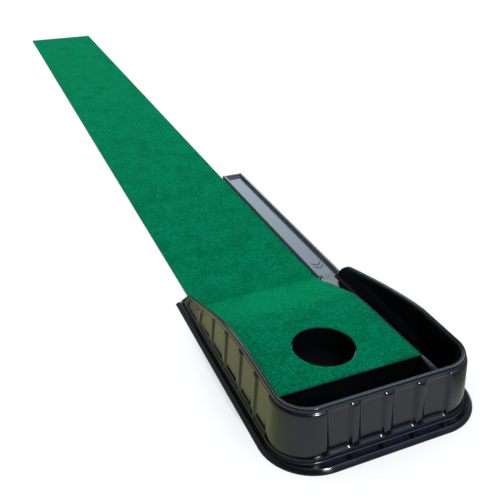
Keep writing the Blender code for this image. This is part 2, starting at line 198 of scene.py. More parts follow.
# %% Sky and sun
world = bpy.data.worlds.new("studio_sky")
bpy.context.scene.world = world
world.use_nodes = True
sky_tree = world.node_tree
sky_way = add(sky_tree, "ShaderNodeTexCoord").outputs["Generated"]
sky_height = add(sky_tree, "ShaderNodeSeparateXYZ", {"Vector": sky_way}).outputs["Z"]
sky_colour = add(sky_tree, "ShaderNodeValToRGB", {"Fac": sky_height},
                 stops=[(0.0, "#8f949a"), (0.45, "#8f98a8"), (0.62, "#4c5560"), (0.74, "#3a414b"),
                        (0.86, "#97a4c6"), (1.0, "#a2b0d2")]).outputs["Color"]


def soft_window(way, full_degrees, none_degrees, strength, tint):
    """A soft round light in the sky: full near its direction, and none beyond the second angle."""
    facing = add(sky_tree, "ShaderNodeVectorMath", {0: sky_way, 1: Vector(way).normalized()}, operation="DOT_PRODUCT")
    share = add(sky_tree, "ShaderNodeMapRange", {
        "Value": facing.outputs["Value"], "From Min": float(np.cos(np.radians(none_degrees))),
        "From Max": float(np.cos(np.radians(full_degrees))), "To Max": strength}, interpolation_type="SMOOTHSTEP")
    glow = add(sky_tree, "ShaderNodeVectorMath", {0: share.outputs["Result"], 1: colour(tint)[:3]},
               operation="MULTIPLY")
    return glow.outputs["Vector"]


ahead = soft_window((0.45, 0.80, 0.42), 12, 17.5, 3.0, "#dbefff")
overhead = soft_window((0.42, -0.22, 0.88), 22, 38, 1.5, "#b4c4ff")
windows = add(sky_tree, "ShaderNodeVectorMath", {0: ahead, 1: overhead}, operation="ADD")
sky_sum = add(sky_tree, "ShaderNodeVectorMath", {0: sky_colour, 1: windows.outputs["Vector"]}, operation="ADD")
mirrored = add(sky_tree, "ShaderNodeLightPath").outputs["Is Glossy Ray"]
sky_mix = add(sky_tree, "ShaderNodeMix", {"Factor": mirrored, "A": colour("#e6e9ec"), "B": sky_sum.outputs["Vector"]},
              data_type="RGBA")
sky_tree.links.new(sky_mix.outputs["Result"], sky_tree.nodes["Background"].inputs["Color"])

sun_data = bpy.data.lights.new("soft_sun", "SUN")
sun_data.energy = 1.9
sun_data.angle = 0.16
sun = bpy.data.objects.new("soft_sun", sun_data)
bpy.context.scene.collection.objects.link(sun)
sun.rotation_euler = Vector((-0.16, 0.70, -0.70)).to_track_quat("-Z", "Y").to_euler()
print("studio: floor, card, sky and sun")


# %% [markdown]
# ## Finish: vacuum-formed gloss polystyrene
# The base and the track are thin polystyrene sheet, heated and sucked down over a mould. The sheet
# leaves the roller with a mirror gloss, and the mould leaves a slow ripple in it. So the finish is a
# near-black body with a sharp clear reflection, bent by two bumps: the ripple and a finer orange peel.

# %% Vacuum-formed gloss polystyrene
def formed_polystyrene(name, body_hex, haze_hex, roughness):
    """Thin polystyrene sheet drawn over a mould: mirror gloss with a slow ripple from the forming,
    a faint haze where it is handled, and base roughness as given."""
    made, tree, shader, place = finish_for(name)
    ripple_mm, haze_mm, fine_mm = 26.0, 45.0, 3.0
    haze = add(tree, "ShaderNodeTexNoise", {"Vector": place, "Scale": 1000 / haze_mm, "Detail": 3.0})
    rgb = add(tree, "ShaderNodeValToRGB", {"Fac": haze.outputs["Fac"]},
              stops=[(0.35, body_hex), (0.75, haze_hex)]).outputs["Color"]
    tree.links.new(rgb, shader.inputs["Base Color"])
    gloss = add(tree, "ShaderNodeMapRange", {"Value": haze.outputs["Fac"], "From Min": 0.35, "From Max": 0.75,
                                             "To Min": roughness, "To Max": roughness + 0.09})
    tree.links.new(gloss.outputs["Result"], shader.inputs["Roughness"])
    slow = add(tree, "ShaderNodeTexNoise", {"Vector": place, "Scale": 1000 / ripple_mm, "Detail": 1.0})
    fine = add(tree, "ShaderNodeTexNoise", {"Vector": place, "Scale": 1000 / fine_mm, "Detail": 2.0})
    first = add(tree, "ShaderNodeBump", {"Height": slow.outputs["Fac"], "Strength": 0.5, "Distance": 0.6 * MM})
    second = add(tree, "ShaderNodeBump", {"Height": fine.outputs["Fac"], "Strength": 0.25,
                                          "Distance": 0.05 * MM, "Normal": first.outputs["Normal"]})
    tree.links.new(second.outputs["Normal"], shader.inputs["Normal"])
    shader.inputs["IOR"].default_value = 1.53
    return made


gloss_black = formed_polystyrene("gloss_black_polystyrene", "#030405", "#08090c", 0.10)
track_grey = formed_polystyrene("charcoal_polystyrene", "#33383f", "#3d434b", 0.13)


# %% [markdown]
# ## Finish: satin polypropylene
# The cup and its chute are moulded from black polypropylene. A spark-eroded mould gives them a fine
# grain that scatters light, so they stay dark inside the hole. A cell pattern 0.8 mm across makes it.

# %% Satin liner plastic
def satin_plastic(name, body_hex):
    """Injection-moulded polypropylene with a spark-eroded satin grain about 0.8 mm across."""
    made, tree, shader, place = finish_for(name)
    grain = add(tree, "ShaderNodeTexVoronoi", {"Vector": place, "Scale": 1000 / 0.8})
    # Painted shade: the grain is a little darker in its pits than on its crests.
    rgb = add(tree, "ShaderNodeValToRGB", {"Fac": grain.outputs["Distance"]},
              stops=[(0.0, body_hex), (1.0, "#050608")]).outputs["Color"]
    tree.links.new(rgb, shader.inputs["Base Color"])
    bump = add(tree, "ShaderNodeBump", {"Height": grain.outputs["Distance"], "Strength": 0.3, "Distance": 0.05 * MM})
    tree.links.new(bump.outputs["Normal"], shader.inputs["Normal"])
    shader.inputs["Roughness"].default_value = 0.6
    shader.inputs["IOR"].default_value = 1.49
    shader.inputs["Specular IOR Level"].default_value = 0.08
    return made


liner_black = satin_plastic("satin_black_polypropylene", "#020203")


# %% [markdown]
# ## Finish: needle-punched turf
# The turf is polypropylene fibre that barbed needles punch through a base cloth, so it stands in
# short tight loops. The eye gets fine specks, soft patches where the pile lies another way, and a
# faint bloom at low angles. The specks are a cell pattern, lighter on each loop and darker between
# loops, which is painted shade, on a 7 mm noise whose tone rises on the bump's raised lumps, partly
# the fibres' own tone and partly painted shade. The patches are slow noise, and the bloom a little sheen.

# %% Needle-punched turf
def needle_punched_turf():
    """Short polypropylene pile, punched through its base so that it stands in tight loops about 2 mm
    apart. The loops are painted as fine specks, lighter on each loop and darker between the loops,
    which is painted shade, and traffic and rolling leave cloudy patches."""
    made, tree, shader, place = finish_for("needle_punched_green_turf")
    tuft_mm, clump_mm, cloud_mm = 2.2, 7.0, 70.0
    tufts = add(tree, "ShaderNodeTexVoronoi", {"Vector": place, "Scale": 1000 / tuft_mm, "Randomness": 1.0})
    clumps = add(tree, "ShaderNodeTexNoise", {"Vector": place, "Scale": 1000 / clump_mm, "Detail": 6.0,
                                              "Roughness": 0.75})
    clouds = add(tree, "ShaderNodeTexNoise", {"Vector": place, "Scale": 1000 / cloud_mm, "Detail": 3.0,
                                              "Roughness": 0.6})
    # Tone from a 7 mm noise that also raises the bump: lighter on the raised lumps, partly the fibres' own tone and
    # partly painted shade.
    speck_tone_and_shade = add(tree, "ShaderNodeValToRGB", {"Fac": clumps.outputs["Fac"]},
                stops=[(0.30, "#00573b"), (0.46, "#007552"), (0.58, "#009068"), (0.76, "#0baa7c")]).outputs["Color"]
    cloud = add(tree, "ShaderNodeValToRGB", {"Fac": clouds.outputs["Fac"]},
                stops=[(0.30, "#cbd0cb"), (0.50, "#ecefec"), (0.70, "#ffffff")]).outputs["Color"]
    mottled = add(tree, "ShaderNodeMix", {"Factor": 1.0, "A": speck_tone_and_shade, "B": cloud}, data_type="RGBA",
                  blend_type="MULTIPLY")
    # Painted shade: each tuft's cell is lighter at its middle, where a loop stands high, and darker towards its edge,
    # between the loops.
    shade = add(tree, "ShaderNodeValToRGB", {"Fac": tufts.outputs["Distance"]},
                stops=[(0.0, "#ffffff"), (0.75, "#9fb3a9")]).outputs["Color"]
    inside = add(tree, "ShaderNodeMix", {"Factor": 1.0, "A": mottled.outputs["Result"], "B": shade},
                 data_type="RGBA", blend_type="MULTIPLY")
    tree.links.new(inside.outputs["Result"], shader.inputs["Base Color"])
    pile = add(tree, "ShaderNodeBump", {"Height": tufts.outputs["Distance"], "Strength": 0.6,
                                        "Distance": 1.0 * MM}, invert=True)
    lumps = add(tree, "ShaderNodeBump", {"Height": clumps.outputs["Fac"], "Strength": 0.7, "Distance": 2.0 * MM,
                                         "Normal": pile.outputs["Normal"]})
    tree.links.new(lumps.outputs["Normal"], shader.inputs["Normal"])
    shader.inputs["Roughness"].default_value = 0.95
    shader.inputs["Specular IOR Level"].default_value = 0.02
    shader.inputs["Sheen Weight"].default_value = 0.5
    shader.inputs["Sheen Roughness"].default_value = 0.45
    shader.inputs["Sheen Tint"].default_value = colour("#00c884")
    return made


turf_green = needle_punched_turf()


# %% [markdown]
# ## Finish: latex backing
# The mat's back is foamed latex, rolled on wet and cured, so that the mat grips the floor. It is dull
# and full of small open cells, so a soft cell pattern drives both its colour and its bump. The colour
# is darker in each cell's hollow than on its walls: painted shade.

# %% Latex backing
def latex_backing():
    """Black foamed latex rolled on to the back of the turf: dull, with open cells about 1.5 mm across."""
    made, tree, shader, place = finish_for("foamed_latex_backing")
    cells = add(tree, "ShaderNodeTexVoronoi", {"Vector": place, "Scale": 1000 / 1.5}, feature="SMOOTH_F1")
    # Painted shade: darker at each cell's hollow middle, lighter towards the walls between cells.
    rgb = add(tree, "ShaderNodeValToRGB", {"Fac": cells.outputs["Distance"]},
              stops=[(0.1, "#0e0f10"), (0.8, "#26282a")]).outputs["Color"]
    tree.links.new(rgb, shader.inputs["Base Color"])
    bump = add(tree, "ShaderNodeBump", {"Height": cells.outputs["Distance"], "Strength": 0.8, "Distance": 0.3 * MM})
    tree.links.new(bump.outputs["Normal"], shader.inputs["Normal"])
    shader.inputs["Roughness"].default_value = 0.88
    return made


backing_black = latex_backing()


# %% [markdown]
# ## Finish: hook and loop tape
# Strips of woven nylon hold the mat to the deck. The hooks stand in near-regular rows, and the loops
# are brushed up closer together, so one recipe makes both, with its pitch and height as arguments.

# %% Hook and loop tapes
def tape(name, pitch_mm, light_hex, gap_shade_hex, height_mm):
    """Woven nylon tape: rows of stiff hooks, or a brushed mat of loops, at the given pitch. The tone is
    lighter on the hooks and loops and darker between them, a painted shade.
    """
    made, tree, shader, place = finish_for(name)
    dots = add(tree, "ShaderNodeTexVoronoi", {"Vector": place, "Scale": 1000 / pitch_mm, "Randomness": 0.35})
    # Painted shade: light on each hook or loop top, dark in the gaps where the bump is low.
    rgb = add(tree, "ShaderNodeValToRGB", {"Fac": dots.outputs["Distance"]},
              stops=[(0.15, light_hex), (0.6, gap_shade_hex)]).outputs["Color"]
    tree.links.new(rgb, shader.inputs["Base Color"])
    bump = add(tree, "ShaderNodeBump", {"Height": dots.outputs["Distance"], "Strength": 1.0,
                                        "Distance": height_mm * MM}, invert=True)
    tree.links.new(bump.outputs["Normal"], shader.inputs["Normal"])
    shader.inputs["Roughness"].default_value = 0.7
    shader.inputs["Sheen Weight"].default_value = 0.2
    return made


hook_tape = tape("nylon_hook_tape", 1.6, "#2e2f31", "#0a0a0b", 0.8)
loop_tape = tape("brushed_loop_tape", 0.9, "#37383a", "#121213", 0.5)
print("finishes:", sorted(m.name for m in bpy.data.materials))


# %% [markdown]
# ## Surfaces from grids
# Every new piece is a grid of points, worked out as whole arrays. A grid closed in one direction is
# a lofted solid with two caps. A flat grid with a second grid below it is a sheet with a thickness:
# the edges that only one face uses are its rim, and a strip of faces closes it there.

# %% Grids, sheets and lofts
def grid_faces(rows, columns, closed=False):
    """Quads between neighbours of a rows x columns grid. Closed joins the last column to the first."""
    r = np.arange(rows - 1)[:, None] * columns
    c = np.arange(columns if closed else columns - 1)[None, :]
    n = (c + 1) % columns
    return np.stack([r + c, r + n, r + columns + n, r + columns + c], -1).reshape(-1, 4)


def open_edges(faces):
    """The directed edges that only one quad uses: each face's edges, less those with a partner."""
    edges = np.stack([faces, np.roll(faces, -1, axis=1)], -1).reshape(-1, 2)
    _, index, count = np.unique(np.sort(edges, axis=1), axis=0, return_index=True, return_counts=True)
    return edges[index[count == 1]]


def build(name, points, faces, finish, body, slot, replaced=(), sharp_degrees=32.0):
    """One piece from design points and faces: merged doubles, outward normals, smooth shading."""
    mesh = bpy.data.meshes.new(name)
    mesh.from_pydata(to_frame(points).tolist(), [], faces)
    clean(mesh)
    mesh.materials.append(finish)
    mesh.shade_smooth()
    mesh.set_sharp_from_angle(angle=np.radians(sharp_degrees))
    obj = bpy.data.objects.new(name, mesh)
    bpy.context.scene.collection.objects.link(obj)
    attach(obj, body)
    if replaced:
        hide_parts(*replaced)
    print(name, len(mesh.polygons), "faces")
    return obj


def clean(mesh):
    """Merges points that coincide, drops faces without area and turns the faces outwards."""
    bm = bmesh.new()
    bm.from_mesh(mesh)
    bmesh.ops.remove_doubles(bm, verts=bm.verts, dist=1e-6)
    bmesh.ops.dissolve_degenerate(bm, dist=1e-7, edges=bm.edges)
    bmesh.ops.recalc_face_normals(bm, faces=bm.faces)
    bm.to_mesh(mesh)
    bm.free()


def lofted(rings):
    """Points and faces of a solid through closed rings, an array of stations x points x 3."""
    stations, around, _ = rings.shape
    faces = grid_faces(stations, around, closed=True).tolist()
    first = list(range(around))
    faces += [first[::-1], [v + (stations - 1) * around for v in first]]
    return rings.reshape(-1, 3), faces


def sheeted(top, bottom, keep=None):
    """Points and faces of a sheet between two grids. keep is a mask of the cells that stay."""
    rows, columns, _ = top.shape
    faces = grid_faces(rows, columns)
    if keep is not None:
        faces = faces[keep.reshape(-1)]
    count = rows * columns
    a, b = open_edges(faces).T
    sides = np.stack([b, a, a + count, b + count], -1)
    every = np.concatenate([faces, faces[:, ::-1] + count, sides])
    return np.concatenate([top.reshape(-1, 3), bottom.reshape(-1, 3)]), every.tolist()


def smooth(low, high, value):
    """0 up to low, 1 from high, and an S-curve 3t^2 - 2t^3 between."""
    t = np.clip((np.asarray(value, float) - low) / (high - low), 0, 1)
    return t * t * (3 - 2 * t)


def eased(corners, cuts, steps=5):
    """Rounds each corner of many outlines at once. corners is (outlines, corners, 3). A corner gives
    way to a quadratic curve that starts and ends its cut before and after it, at most 45% of a side."""
    before = np.concatenate([corners[:, :1], corners[:, :-1]], axis=1) - corners
    after = np.concatenate([corners[:, 1:], corners[:, -1:]], axis=1) - corners
    reach = [np.linalg.norm(side, axis=2, keepdims=True) + 1e-9 for side in (before, after)]
    cut = np.asarray(cuts, float)[None, :, None]
    start = corners + before / reach[0] * np.minimum(cut, 0.45 * reach[0])
    end = corners + after / reach[1] * np.minimum(cut, 0.45 * reach[1])
    t = np.linspace(0, 1, steps)[None, None, :, None]
    curve = (1 - t) ** 2 * start[:, :, None] + 2 * t * (1 - t) * corners[:, :, None] + t ** 2 * end[:, :, None]
    return curve.reshape(corners.shape[0], -1, 3)


small = grid_faces(3, 3)
print("a grid of 3 x 3 points has", len(small), "faces, and", len(open_edges(small)), "edges on its rim")


# %% [markdown]
# ## The deck's and the mat's side view
# Deck and mat share one side view: a ramp, a rounded crest and a nearly level top. It is a few
# corners with an arc at each, the same as in the model's solids, so the pieces meet where they should.

# %% Side view of the deck and the mat
def arcs(corners, radii, arc_step_degrees=1.5):
    """A path of straight runs with an arc of its radius at each corner, towards -y."""
    corners = [np.array(c, float) for c in corners]
    path = [corners[0]]
    for before, corner, after, radius in zip(corners, corners[1:], corners[2:], radii[1:]):
        into = (corner - before) / np.linalg.norm(corner - before)
        out = (after - corner) / np.linalg.norm(after - corner)
        turn = np.arctan2(into[0] * out[1] - into[1] * out[0], into @ out)
        reach = abs(radius * np.tan(turn / 2))
        steps = 2 + int(abs(np.degrees(turn)) / arc_step_degrees)
        heading = np.arctan2(into[1], into[0]) + turn * np.linspace(0, 1, steps)
        side = np.sign(turn)
        centre = corner - into * reach + side * radius * np.array([-into[1], into[0]])
        path += list(centre + side * radius * np.stack([np.sin(heading), -np.cos(heading)], -1))
    return np.array(path + [corners[-1]])


def height(path, y):
    """Height of a path that runs towards -y, at each y."""
    return np.interp(y, path[::-1, 0], path[::-1, 1])


def slope_factor(path, y, gap=1.0):
    """How much longer the path is than its shadow on the floor, at each y: sqrt(1 + slope squared)."""
    slope = (height(path, np.asarray(y) + gap) - height(path, np.asarray(y) - gap)) / (2 * gap)
    return np.sqrt(1 + slope ** 2)


DECK_CORNERS = [(-16.0, 4.9), (-155.0, 54.0), (-210.0, 60.8), (-399.0, 70.2)]
deck_side = arcs(DECK_CORNERS, [0, 150, 300, 0])
MAT_LIFT = 2.5                 # hook and loop strips hold the mat this far off the deck
APRON_TOP = 2.7
ramp_slope = (DECK_CORNERS[1][1] - DECK_CORNERS[0][1]) / (DECK_CORNERS[0][0] - DECK_CORNERS[1][0])


def raised(corner, slope_before, slope_after):
    """A corner of the deck moved out square to both its sides by the lift."""
    angle = (np.arctan(slope_before) + np.arctan(slope_after)) / 2
    half = (np.arctan(slope_before) - np.arctan(slope_after)) / 2
    return (corner[0] + MAT_LIFT * np.sin(angle) / np.cos(half), corner[1] + MAT_LIFT * np.cos(angle) / np.cos(half))


slopes = [-(b[1] - a[1]) / (b[0] - a[0]) for a, b in zip(DECK_CORNERS, DECK_CORNERS[1:])]
on_ramp = raised(DECK_CORNERS[0], slopes[0], slopes[0])
foot_y = on_ramp[0] + (on_ramp[1] - APRON_TOP) / ramp_slope
mat_rear = mat_low[1]
rear_end = raised(DECK_CORNERS[3], slopes[2], slopes[2])
mat_side = arcs([(mat_high[1], 0), (96, 0), (42, APRON_TOP), (foot_y, APRON_TOP),
                 raised(DECK_CORNERS[1], slopes[0], slopes[1]), raised(DECK_CORNERS[2], slopes[1], slopes[2]),
                 rear_end], [0, 300, 300, 60, 152.5, 302.5, 0])
print("mat height at the hole:", round(float(height(mat_side, -302.0)), 1), "mm")

# %% [markdown]
# ## A grid with a round hole in it
# The hole is kept in one smooth grid by easing the lines round it, as the grain of wood runs round a
# knot: a square of cells is left out, and the lines near it bend until that square is a circle.

# %% Hole in a grid
HOLE_X, HOLE_Y = 152.0, -302.0
EASE_REACH = 82.0              # half the side of the square inside which the lines bend


def lines(stops, spacings):
    """Places of grid lines: evenly spread between the stops, at most the given spacing apart."""
    runs = [np.linspace(a, b, max(2, int(np.ceil(abs(b - a) / s)) + 1))[:-1]
            for a, b, s in zip(stops, stops[1:], spacings)]
    return np.concatenate(runs + [[stops[-1]]])


def round_the_hole(x, y, radius):
    """Bends a grid's plan so that the square of that half-side becomes a circle. A point's square
    distance m is the larger of its two offsets, and it moves to circle + (itself - circle) * t,
    where t runs from 0 on the square to 1 at the reach."""
    dx, dy = x - HOLE_X, y - HOLE_Y
    m = np.maximum(np.abs(dx), np.abs(dy))
    r = np.hypot(dx, dy) + 1e-9
    t = smooth(radius, EASE_REACH, m) * 0.35 + np.clip((m - radius) / (EASE_REACH - radius), 0, 1) * 0.65
    scale = np.where(m < EASE_REACH, t + (1 - t) * m / r, 1.0)
    keep = (m > radius - 0.01).astype(int)
    cells = keep[:-1, :-1] + keep[1:, :-1] + keep[:-1, 1:] + keep[1:, 1:]
    mid = (x[:-1, :-1] + x[1:, 1:]) / 2, (y[:-1, :-1] + y[1:, 1:]) / 2
    inside = np.maximum(np.abs(mid[0] - HOLE_X), np.abs(mid[1] - HOLE_Y)) < radius
    return HOLE_X + dx * scale, HOLE_Y + dy * scale, (cells == 4) & ~inside


# %% [markdown]
# ## The mat: a pile on a backing
# The turf is one closed sheet, 2.6 mm of pile on 1.8 mm of black backing. Its cut edges are rounded,
# because the outermost loops lean out, and its surface is a little uneven, because it was rolled up.

# %% Turf and backing
BACKING, PILE, LAYER_GAP = 1.8, 2.6, 0.3
TURF_HOLE, EDGE = 59.8, 1.6
HOLE_STRETCH = 0.07            # the mat's own opening is cut slightly long, so the deck shows round it


def mat_plan(radius, edge_lines):
    """The plan of a mat layer: grid lines across and along, closer at its edges, bent round the hole."""
    low, high = mat_low[0], mat_high[0]
    near = np.array(edge_lines)
    across = np.concatenate([low + near, lines([low + 6, HOLE_X - radius, HOLE_X + radius, high - 6], [8, 6, 8]),
                             high - near[::-1]])
    along = np.concatenate([mat_rear + near, lines([mat_rear + 5, HOLE_Y - radius, HOLE_Y + radius, -190, 120,
                                                    mat_high[1] - 6], [5, 6, 6, 6, 18]),
                            mat_high[1] - near[::-1]])
    x, y = np.meshgrid(across, along)
    bent_x, bent_y, keep = round_the_hole(x, y, radius)
    near_hole = 1 - smooth(radius, EASE_REACH, np.hypot(bent_x - HOLE_X, bent_y - HOLE_Y))
    bent_y = HOLE_Y + (bent_y - HOLE_Y) * (1 + HOLE_STRETCH * near_hole)
    return x, y, bent_x, bent_y, keep


def unevenness(x, y):
    """The small lie of a mat that was rolled up: three slow waves, under 0.4 mm in all."""
    return 0.16 * np.sin(y / 61 + 0.7) + 0.12 * np.sin(y / 37 + x / 70) + 0.1 * np.sin(x / 43 - y / 140)


def mat_layer(name, low, high, rounding, finish, slot, node):
    """A layer of the mat between two distances above its side view. Near an edge, at distance e, the
    top drops by rounding * (1 - sqrt(1 - (1 - e / EDGE)^2)), a quarter circle."""
    x0, y0, x, y, keep = mat_plan(TURF_HOLE, [0, 0.25, 0.7, 1.6, 3.2])
    edge = np.minimum.reduce([x0 - mat_low[0], mat_high[0] - x0, y0 - mat_rear, mat_high[1] - y0,
                              np.maximum(np.abs(x0 - HOLE_X), np.abs(y0 - HOLE_Y)) - TURF_HOLE + 0.2])
    lean = 1 - np.clip(edge / EDGE, 0, 1)
    drop = rounding * (1 - np.sqrt(np.clip(1 - lean ** 2, 0, 1)))
    stretch = slope_factor(mat_side, y)
    base = height(mat_side, y)
    wave = unevenness(x, y) * smooth(0, 30, edge) * (rounding > 0)
    top = np.stack([x, y, base + high * stretch - drop + wave], -1)
    bottom = np.stack([x, y, base + low * stretch], -1)
    points, faces = sheeted(top, bottom, keep)
    return build(name, points, faces, finish, "mat", slot, [node], sharp_degrees=50)


turf = mat_layer("turf_pile", BACKING + LAYER_GAP, BACKING + LAYER_GAP + PILE, 1.2, turf_green, "turf_green",
                 "mat_turf")
backing = mat_layer("latex_backing", 0, BACKING, 0, backing_black, "backing_black", "mat_backing")

# %% [markdown]
# ## The walled base
# The base is one sheet of black polystyrene, drawn over a mould. Its wall is a profile carried round
# a path: a flat lip with a rounded bead, a sloping skirt, the ribbed wall, the rolled rim and the
# inner face. Ribs are a bump that comes and goes along the path, as a curtain's folds do.

# %% Sizes of the wall
RIM_LEFT, RIM_RIGHT, RIM_BACK, RIM_RADIUS = -10.0, 359.0, -484.0, 59.0
LIP_RADIUS = 97.0
LEFT_FRONT, RIGHT_FRONT = 36.0, -4.0
RIM_HEIGHT = tray_high[2]
RIB_HALF, RIB_FOOT = 5.0, 7.0  # half the rib's crown, and the run over which it sinks into a panel
SIDE_RIBS = np.array([-358.0, -289.0, -217.0, -144.0, -71.0, 7.0])
BACK_RIBS = np.array([110.5, 174.5, 238.5])
LIP_LEFT = tray_low[0] + 3.2   # the lip is thin at its outer edge, inside the model's solid


# %% Heights of the side rims
def left_rim_height(y):
    """112 mm less 9.18e-4 * (y + 320)^2, and a straight fall of 0.365 from y = -121 forwards."""
    curve = np.clip(np.minimum(y, -121.0) + 320, 0, None)
    return RIM_HEIGHT - 9.18e-4 * curve ** 2 - 0.365 * np.clip(y + 121, 0, None)


def right_rim_height(y):
    """112 mm less 0.0402 * (y + 320)^1.3, times a quarter ellipse over the last 48 mm: the nose."""
    fall = RIM_HEIGHT - 0.0402 * np.clip(y + 320, 0, None) ** 1.3
    return np.maximum(fall * np.sqrt(1 - np.clip((y + 55) / 48, 0, 1) ** 2), 5)


print("rims at the ramp's foot:", round(float(left_rim_height(-16.0)), 1), round(float(right_rim_height(-16.0)), 1))


# %% Stations round the wall
def wall_path(step=2.0):
    """Stations from the left front, round the back, to the right front, as arrays: the rim's outer
    point, the lip's outer point, the outward direction, and how far each is from a rib's middle."""
    turn_y, lip_y = RIM_BACK + RIM_RADIUS, tray_low[1] + LIP_RADIUS
    left_y = lines([LEFT_FRONT, 16, -16, turn_y], [1.0, 2.0, step])
    right_y = lines([turn_y, -60, RIGHT_FRONT], [step, 1.0])
    back_x = lines([RIM_LEFT + RIM_RADIUS, RIM_RIGHT - RIM_RADIUS], [step])
    arc = np.radians(np.linspace(180, 270, 40))
    left = np.stack([np.full_like(left_y, RIM_LEFT), left_y], -1)
    right = np.stack([np.full_like(right_y, RIM_RIGHT), right_y], -1)
    back = np.stack([back_x, np.full_like(back_x, RIM_BACK)], -1)
    share = (back_x - back_x[0]) / (back_x[-1] - back_x[0])
    lip_x = LIP_LEFT + LIP_RADIUS + share * (tray_high[0] - LIP_LEFT - 2 * LIP_RADIUS)
    out = np.stack([np.cos(arc), np.sin(arc)], -1)
    out2 = np.stack([-out[::-1, 0], out[::-1, 1]], -1)
    rim = [left, np.array([RIM_LEFT + RIM_RADIUS, turn_y]) + RIM_RADIUS * out, back,
           np.array([RIM_RIGHT - RIM_RADIUS, turn_y]) + RIM_RADIUS * out2, right]
    lip = [np.stack([np.full_like(left_y, LIP_LEFT), left_y], -1),
           np.array([LIP_LEFT + LIP_RADIUS, lip_y]) + LIP_RADIUS * out,
           np.stack([lip_x, np.full_like(back_x, tray_low[1])], -1),
           np.array([tray_high[0] - LIP_RADIUS, lip_y]) + LIP_RADIUS * out2,
           np.stack([np.full_like(right_y, tray_high[0]), right_y], -1)]
    normal = [np.tile([-1.0, 0], (len(left_y), 1)), out, np.tile([0, -1.0], (len(back_x), 1)), out2,
              np.tile([1.0, 0], (len(right_y), 1))]
    ribs = [rib_bump(left_y, SIDE_RIBS, (turn_y + 9, 60)), np.ones(40), rib_bump(back_x, BACK_RIBS, (55, 299)),
            np.ones(40), rib_bump(right_y, SIDE_RIBS[:-1], (turn_y + 9, SIDE_RIBS[-2]))]
    tops = [left_rim_height(left_y), np.full(len(back_x) + 80, RIM_HEIGHT), right_rim_height(right_y)]
    return [np.concatenate(parts) for parts in (rim, lip, normal, ribs, tops)]


def rib_bump(place, middles, ends):
    """1 on a rib's crown and 0 on a panel, with an S-curve between, at places along a straight wall.
    The wall is raised like a rib outside its two ends."""
    distance = np.abs(place[:, None] - middles[None, :]).min(axis=1) - RIB_HALF
    distance = np.minimum(distance, np.minimum(place - ends[0], ends[1] - place))
    return 1 - smooth(0, RIB_FOOT, distance)


rim, lip, outward, rib, rim_top = wall_path()
print("wall stations:", len(rim), "rim from", rim_top.min().round(1), "to", rim_top.max().round(1), "mm")

# %% [markdown]
# ## The wall's outline
# One closed outline of 29 corners goes up the outside, over the rim and down the inside. It is
# worked out for every station at once, and each corner is then rounded, as a forming mould is.

# %% Section of the wall
SIDE_DEPTH, BACK_DEPTH = 3.6, 5.6   # how far a panel lies behind the ribs
FOOT_BAND = 13.0               # below this height the section keeps its full size
ROOM = 34.0                    # a wall at least this high above the foot band has the full section


def wall_outline():
    """The wall's outline at every station. A row is (share of the way from rim to lip, mm outwards,
    height, what the height is measured from, share of the panel's depth, rounding in mm)."""
    rows = [
        # the flat lip, from its outer bead to the foot of the wall
        (1, 0, 0, "floor", 0, 0.2), (1, -0.5, 1.8, "floor", 0, 0.6), (1, -7.4, 9.0, "floor", 0, 2.4),
        (1, -10.4, 6.4, "floor", 0, 1.4), (0.1, 10.0, 6.6, "floor", 0, 2.4),
        # the skirt, and the panel's bottom edge
        (0.1, 8.4, 11.6, "floor", 0, 1.6), (0.15, 5.6, 13.4, "floor", 0, 1.2), (0.2, 4.0, 17.5, "floor", 1, 2.2),
        # the panel's top edge, the shoulder of a rib, and the groove under the rim
        (0.04, 2.8, -15.6, "rim", 1, 2.6), (0.02, 1.9, -11.4, "rim", 0.6, 1.6), (0, -1.3, -8.4, "rim", 0, 0.7),
        # the rolled rim: two beads with a shallow groove between
        (0, 0, -7.0, "rim", 0, 0.8), (0, 0, -3.4, "rim", 0, 1.6), (0, -1.5, -0.5, "rim", 0, 1.0),
        (0, -2.8, -0.1, "rim", 0, 0.8), (0, -4.6, -1.0, "rim", 0, 1.0), (0, -6.6, 0.0, "rim", 0, 1.0),
        (0, -8.6, -1.6, "rim", 0, 1.6), (0, -9.4, -6.0, "rim", 0, 2.0),
        # down the inner face, and up between the two walls
        (0, -9.6, 0.4, "floor", 0, 0.2), (0, -7.6, 0.4, "floor", 0, 0.2), (0, -7.3, -13.0, "rim", 0, 0.6),
        (0, -5.6, -15.0, "rim", 0, 0.6),
        # the underside of the wall, the skirt and the lip
        (0.2, -3.4, 12.0, "floor", 0, 1.0), (0.1, 6.2, 9.4, "floor", 0, 0.6), (0.1, 7.8, 4.4, "floor", 0, 0.8),
        (1, -10.0, 4.2, "floor", 0, 0.8), (1, -7.6, 6.4, "floor", 0, 0.8), (1, -2.4, 0, "floor", 0, 0.2),
    ]
    share, out, z, deep = [np.array([row[k] for row in rows], float) for k in (0, 1, 2, 4)]
    from_rim = np.array([row[3] == "rim" for row in rows])
    q = np.clip((rim_top - FOOT_BAND) / ROOM, 0.06, 1)[:, None]
    low = np.where(z > FOOT_BAND, FOOT_BAND + (z - FOOT_BAND) * q, z)
    tall = np.where(from_rim, rim_top[:, None] + z * q, low)
    tall = np.where(from_rim & (z < -11), np.maximum(tall, FOOT_BAND + 8 * q), tall)
    depth = np.where(np.abs(outward[:, 0]) > 0.99, SIDE_DEPTH, BACK_DEPTH)[:, None]
    sink = depth * deep * (1 - rib[:, None]) * q
    reach = lip - rim
    flat = (rim[:, None] + reach[:, None] * share[None, :, None]
            + outward[:, None] * (out[None, :] - sink)[:, :, None])
    cuts = [row[5] for row in rows]
    return np.concatenate([flat, tall[:, :, None]], -1), cuts


